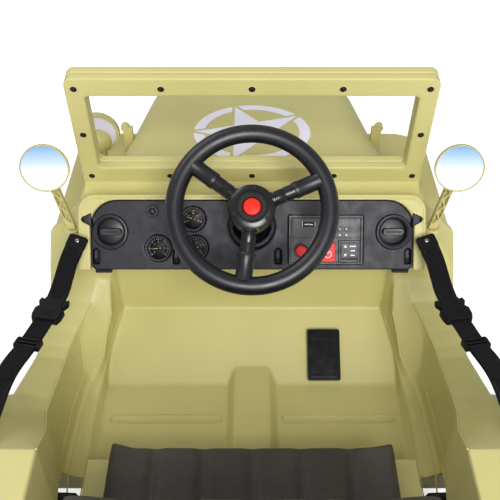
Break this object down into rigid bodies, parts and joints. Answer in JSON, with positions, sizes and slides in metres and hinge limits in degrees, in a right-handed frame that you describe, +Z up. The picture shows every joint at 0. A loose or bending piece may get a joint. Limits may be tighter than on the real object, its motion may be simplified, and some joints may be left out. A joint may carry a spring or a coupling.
{
  "type": "ride-on toy 4x4",
  "caption": "Open army-style ride-on toy car with a folding-look windscreen frame, central steering wheel, steered front wheels and rolling wheels.",
  "frame": {"origin": "ground level, under the middle of the length and width", "axes": "+Y forward, +X to the driver's right, +Z up"},
  "size_m": [0.6452, 1.06, 0.6369],
  "materials": {
    "khaki_plastic": "moulded, satin",
    "black_plastic": "moulded, fine grain",
    "gloss_black": "polished",
    "red_plastic": "moulded, satin",
    "steel": "zinc plated",
    "lens": "clear moulded",
    "red_lens": "clear red",
    "mirror_film": "mirror film",
    "webbing": "woven",
    "leatherette": "padded",
    "tyre_plastic": "moulded, satin",
    "khaki_rim": "moulded, satin"
  },
  "bodies": {
    "body": {"bonnet_latches": "khaki_plastic", "floor_pan": "khaki_plastic", "side_left": "khaki_plastic", "side_right": "khaki_plastic", "seat_deck": "khaki_plastic", "rear_panel": "khaki_plastic", "fender_left": "khaki_plastic", "fender_right": "khaki_plastic", "bonnet": "khaki_plastic", "grille_panel": "khaki_plastic", "front_bumper": "khaki_plastic", "rear_bumpers": "khaki_plastic", "cowl": "khaki_plastic", "windscreen_rear": "khaki_plastic", "windscreen_front": "khaki_plastic", "mirror_arms": "khaki_plastic", "fender_lamp": "khaki_plastic", "jerry_can": "khaki_plastic", "headlamp_rims": "khaki_plastic", "chassis_pan": "black_plastic", "inner_arches": "black_plastic", "dash_panel": "black_plastic", "dash_vents": "black_plastic", "gauges": "black_plastic", "switch_plate": "black_plastic", "pedal": "black_plastic", "strap_buckles": "black_plastic", "gearboxes": "black_plastic", "battery": "black_plastic", "red_switches": "red_plastic", "front_axle": "steel", "rear_axle": "steel", "headlamp_lenses": "lens", "fender_lamp_lens": "lens", "tail_lamps": "red_lens", "mirror_glasses": "mirror_film", "door_straps": "webbing", "seat_cushion": "leatherette", "seat_back": "leatherette", "spare_tyre": "tyre_plastic", "spare_rim": "khaki_rim"},
    "steering_wheel": {"steering_rim": "black_plastic", "steering_hub": "gloss_black", "horn_button": "red_plastic", "steering_shaft": "steel"},
    "knuckle_left": {"knuckle_left": "steel"},
    "knuckle_right": {"knuckle_right": "steel"},
    "tie_rod": {"tie_rod": "steel"},
    "wheel_front_left": {"tyre_front_left": "tyre_plastic", "rim_front_left": "khaki_rim"},
    "wheel_front_right": {"tyre_front_right": "tyre_plastic", "rim_front_right": "khaki_rim"},
    "wheel_rear_left": {"tyre_rear_left": "tyre_plastic", "rim_rear_left": "khaki_rim"},
    "wheel_rear_right": {"tyre_rear_right": "tyre_plastic", "rim_rear_right": "khaki_rim"}
  },
  "joints": [
    {"name": "steering", "type": "hinge", "parent": "body", "child": "steering_wheel", "pos_m": [0, -0.0074, 0.5077], "axis": [0, -0.6361, 0.7716], "range_deg": [-48, 48]},
    {"name": "kingpin_left", "type": "hinge", "parent": "body", "child": "knuckle_left", "pos_m": [-0.208, 0.33, 0.125], "axis": [0, 0, 1], "range_deg": [-24, 24]},
    {"name": "kingpin_right", "type": "hinge", "parent": "body", "child": "knuckle_right", "pos_m": [0.208, 0.33, 0.125], "axis": [0, 0, 1], "range_deg": [-24, 24]},
    {"name": "tie_rod_pin", "type": "hinge", "parent": "knuckle_left", "child": "tie_rod", "pos_m": [-0.208, 0.27, 0.101], "axis": [0, 0, 1], "range_deg": [-24, 24]},
    {"name": "spin_front_left", "type": "hinge", "parent": "knuckle_left", "child": "wheel_front_left", "pos_m": [-0.272, 0.33, 0.125], "axis": [1, 0, 0], "continuous": true},
    {"name": "spin_front_right", "type": "hinge", "parent": "knuckle_right", "child": "wheel_front_right", "pos_m": [0.272, 0.33, 0.125], "axis": [1, 0, 0], "continuous": true},
    {"name": "spin_rear_left", "type": "hinge", "parent": "body", "child": "wheel_rear_left", "pos_m": [-0.272, -0.33, 0.125], "axis": [1, 0, 0], "continuous": true},
    {"name": "spin_rear_right", "type": "hinge", "parent": "body", "child": "wheel_rear_right", "pos_m": [0.272, -0.33, 0.125], "axis": [1, 0, 0], "continuous": true}
  ],
  "couplings": [
    {"joint": "kingpin_left", "follows": "steering", "ratio": 0.5},
    {"joint": "kingpin_right", "follows": "steering", "ratio": 0.5},
    {"joint": "tie_rod_pin", "follows": "steering", "ratio": -0.5}
  ]
}
